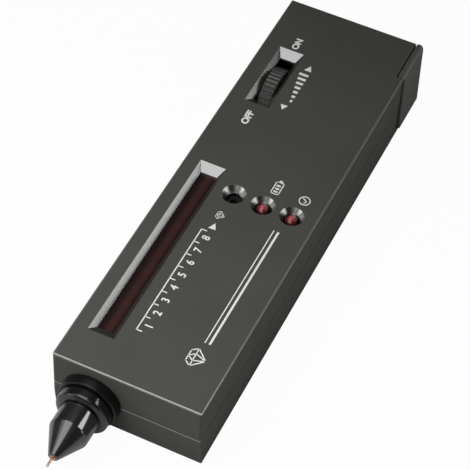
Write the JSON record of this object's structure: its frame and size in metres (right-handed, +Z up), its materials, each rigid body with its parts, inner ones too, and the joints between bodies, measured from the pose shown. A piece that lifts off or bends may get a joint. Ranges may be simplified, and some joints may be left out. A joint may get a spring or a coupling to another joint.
{
  "type": "diamond tester",
  "caption": "Slim hand-held thermal diamond tester: two-shell case, stepped probe with a sprung copper pin, lamp bar window, ribbed on-off thumb wheel and sliding battery cover.",
  "frame": {"origin": "middle of the case's base, on the surface that it lies on", "axes": "+Z up out of the top face, +Y along the case away from the probe, +X towards the battery cover's wing"},
  "size_m": [0.0389, 0.1553, 0.0212],
  "materials": {
    "case_plastic": "satin charcoal plastic with a fine moulded grain",
    "wheel_plastic": "satin black plastic",
    "probe_black": "polished black plastic",
    "red_filter": "dark red clear plastic",
    "lamp_red": "clear red lamp resin",
    "black_plastic": "matt black plastic",
    "blue_plastic": "blue plastic",
    "ivory_plastic": "ivory plastic",
    "circuit_board": "green lacquer over glass fibre",
    "capacitor_can": "dark blue sleeve over an aluminium can",
    "resistor_body": "tan lacquer",
    "steel": "plated steel",
    "brass": "turned brass",
    "copper": "bare copper",
    "battery_jacket": "plain grey metal jacket",
    "foam": "grey foam",
    "white_ceramic": "white ceramic bead",
    "wire_grey": "grey wire insulation",
    "wire_red": "red wire insulation",
    "wire_yellow": "yellow wire insulation"
  },
  "bodies": {
    "case": {"upper_shell": "case_plastic", "lower_shell": "case_plastic", "window_filter": "red_filter", "scale_lamps": "lamp_red", "battery_lamp": "lamp_red", "ready_lamp": "lamp_red", "buzzer": "black_plastic", "main_board": "circuit_board", "driver_chip": "black_plastic", "amplifier_chip": "black_plastic", "trimmer": "blue_plastic", "capacitor": "capacitor_can", "resistors": "resistor_body", "board_screws": "steel", "case_screws": "steel", "volume_pot": "black_plastic", "pot_board": "circuit_board", "pot_leads": "wire_grey", "battery": "battery_jacket", "battery_studs": "steel", "battery_snap": "black_plastic", "snap_contacts": "steel", "battery_leads": "wire_red", "battery_pad": "foam", "finger_plate": "steel", "plate_pin": "brass", "probe_collar": "probe_black", "probe_ring": "probe_black", "probe_nose": "probe_black", "probe_tube": "steel", "tip_bush": "copper", "pin_spring": "steel", "spring_seat": "steel", "probe_plug": "ivory_plastic", "probe_leads": "wire_yellow"},
    "wheel": {"thumb_wheel": "wheel_plastic", "wheel_screw": "steel", "pot_shaft": "brass"},
    "pin": {"probe_pin": "copper", "heater": "white_ceramic"},
    "cover": {"end_cover": "case_plastic"}
  },
  "joints": [
    {"name": "volume_turn", "type": "hinge", "parent": "case", "child": "wheel", "pos_m": [-0.011, 0.0378, 0.0127], "axis": [-1, 0, 0], "range_deg": [0, 300]},
    {"name": "pin_press", "type": "slide", "parent": "case", "child": "pin", "axis": [0, 1, 0], "range_m": [0, 0.0015], "stiffness_N_per_m": 600, "springref_m": -0.001, "deforming": ["pin_spring"]},
    {"name": "cover_slide", "type": "slide", "parent": "case", "child": "cover", "axis": [1, 0, 0], "range_m": [0, 0.04]}
  ]
}
